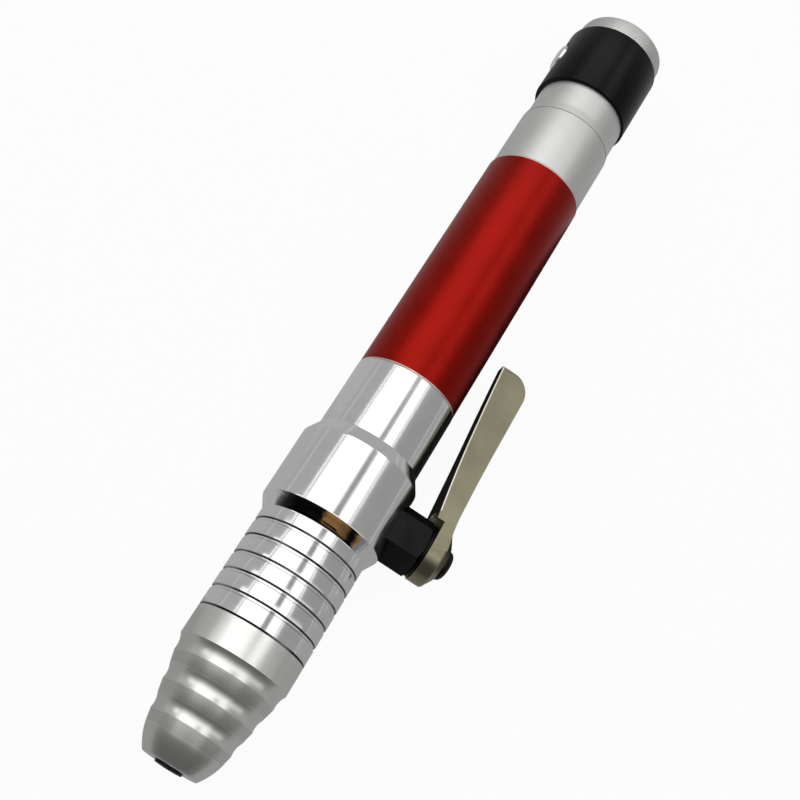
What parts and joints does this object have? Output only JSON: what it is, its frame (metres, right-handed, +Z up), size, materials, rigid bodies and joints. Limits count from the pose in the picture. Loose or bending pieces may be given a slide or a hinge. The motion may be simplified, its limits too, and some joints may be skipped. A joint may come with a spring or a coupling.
{
  "type": "die grinder handpiece",
  "caption": "Flexible-shaft die grinder handpiece with a quick-change collet, a side lever that opens it, a red grip and a latched rear drive socket.",
  "frame": {"origin": "on the spindle axis in the plane of the nose face, at the mouth of the collet", "axes": "+X along the spindle from the nose to the rear, the lever stands out towards -Y, the latch button towards +Y, +Z up with the tool lying on its side"},
  "size_m": [0.1708, 0.0348, 0.0232],
  "materials": {
    "satin_aluminium": "satin turned aluminium with fine turning lines",
    "polished_steel": "mirror-polished, slightly satin steel",
    "black_steel": "black oxide",
    "red_anodised": "satin deep red anodised aluminium",
    "matt_silver": "matt bead-blasted light silver",
    "black_band": "satin black",
    "nickel": "satin champagne nickel",
    "brass": "turned brass, oily",
    "ground_steel": "ground bearing steel",
    "rubber": "matt black rubber",
    "spring_steel": "spring steel"
  },
  "bodies": {
    "casing": {"nose_cap": "satin_aluminium", "shaft_seal": "rubber", "front_housing": "polished_steel", "pivot_bush": "black_steel", "grip_tube": "red_anodised", "grip_o_rings": "rubber", "rear_sleeve": "matt_silver", "rear_end_cap": "matt_silver", "lock_band": "black_band", "front_outer_races": "ground_steel", "front_outer_spacer": "ground_steel", "rear_outer_races": "ground_steel", "rear_outer_spacer": "ground_steel", "preload_washer": "spring_steel", "bearing_retainer": "black_steel", "friction_washer": "black_steel", "leaf_spring": "spring_steel"},
    "spindle": {"spindle": "ground_steel", "spindle_nut": "black_steel", "front_inner_races": "ground_steel", "front_inner_spacer": "ground_steel", "rear_inner_races": "ground_steel", "rear_inner_spacer": "ground_steel", "drive_shaft": "ground_steel", "shaft_circlip": "spring_steel", "drive_coupling": "ground_steel", "coupling_pin": "ground_steel", "closing_spring": "spring_steel"},
    "front_ball_set": {"front_balls": "polished_steel", "front_cages": "brass"},
    "rear_ball_set": {"rear_balls": "polished_steel", "rear_cages": "brass"},
    "drawbar": {"drawbar": "ground_steel", "collet": "black_steel", "release_collar": "ground_steel", "cross_pin": "ground_steel"},
    "shift_ring": {"shift_ring": "brass"},
    "lever": {"lever": "nickel", "cam_shaft": "black_steel", "lever_screw": "black_steel"},
    "latch": {"latch_plate": "ground_steel", "lock_button": "polished_steel"}
  },
  "joints": [
    {"name": "spindle_turn", "type": "hinge", "parent": "casing", "child": "spindle", "pos_m": [0.03, 0, 0], "axis": [1, 0, 0], "continuous": true},
    {"name": "front_balls_turn", "type": "hinge", "parent": "casing", "child": "front_ball_set", "pos_m": [0.0255, 0, 0], "axis": [1, 0, 0], "continuous": true},
    {"name": "rear_balls_turn", "type": "hinge", "parent": "casing", "child": "rear_ball_set", "pos_m": [0.118, 0, 0], "axis": [1, 0, 0], "continuous": true},
    {"name": "lever_swing", "type": "hinge", "parent": "casing", "child": "lever", "pos_m": [0.05285, -0.0177, 0], "axis": [0, -1, 0], "range_deg": [0, 90]},
    {"name": "ring_slide", "type": "slide", "parent": "casing", "child": "shift_ring", "axis": [-1, 0, 0], "range_m": [0, 0.00156]},
    {"name": "drawbar_slide", "type": "slide", "parent": "spindle", "child": "drawbar", "axis": [-1, 0, 0], "range_m": [0, 0.00156], "deforming": ["closing_spring"]},
    {"name": "latch_press", "type": "slide", "parent": "casing", "child": "latch", "axis": [0, -1, 0], "range_m": [0, 0.00075], "stiffness_N_per_m": 3000, "springref_m": -0.001, "deforming": ["leaf_spring"]}
  ],
  "couplings": [
    {"joint": "front_balls_turn", "follows": "spindle_turn", "ratio": 0.4},
    {"joint": "rear_balls_turn", "follows": "spindle_turn", "ratio": 0.4},
    {"joint": "ring_slide", "follows": "lever_swing", "m_per_rad": 0.00099035},
    {"joint": "drawbar_slide", "follows": "lever_swing", "m_per_rad": 0.00099035}
  ]
}
